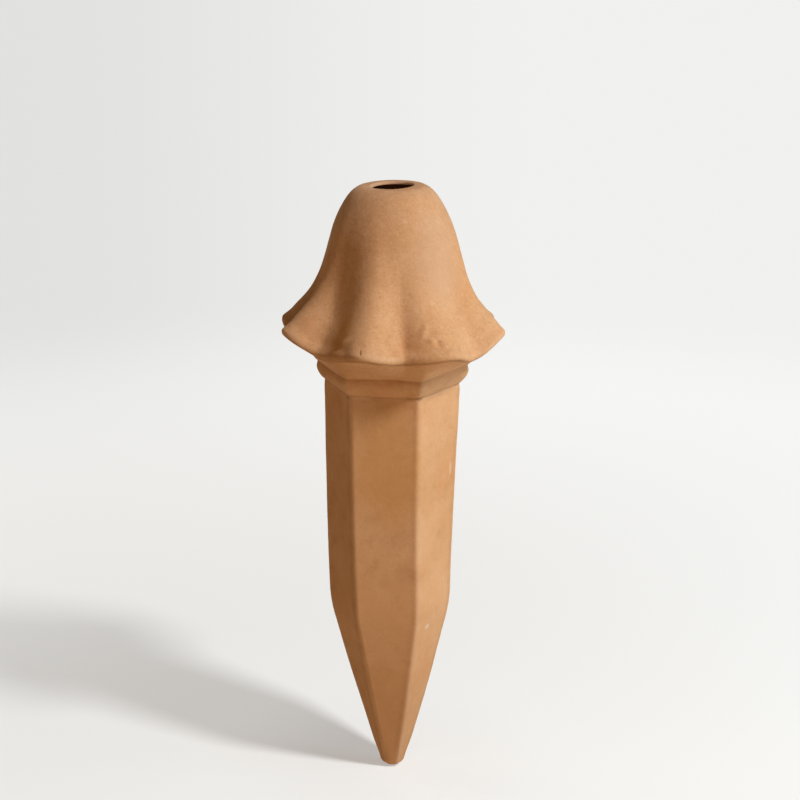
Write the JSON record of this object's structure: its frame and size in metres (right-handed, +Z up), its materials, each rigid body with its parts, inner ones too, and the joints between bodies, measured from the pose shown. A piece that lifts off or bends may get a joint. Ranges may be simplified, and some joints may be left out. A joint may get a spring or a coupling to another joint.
{
  "type": "self watering spike",
  "caption": "Hollow terracotta watering spike: a bell hood with a ruffled skirt and a fill hole, on a hexagonal tapering stake that seeps water into the soil.",
  "frame": {"origin": "the tip of the point, on the axis of the spike", "axes": "+Z up along the axis, from the tip to the fill hole; -Y towards the front that the picture shows; +X to the right of that front"},
  "size_m": [0.0716, 0.0719, 0.2],
  "materials": {
    "clay": "unglazed matte terracotta",
    "slip": "unglazed matte terracotta slip, a little darker"
  },
  "bodies": {
    "root": {"hood_shell": "clay", "hood_floor": "clay", "collar_band": "clay", "stem_tube": "clay", "spike_point": "clay", "rim_slip_seam": "slip", "collar_slip_seam": "slip", "neck_slip_seam": "slip", "point_slip_seam": "slip"}
  },
  "joints": []
}
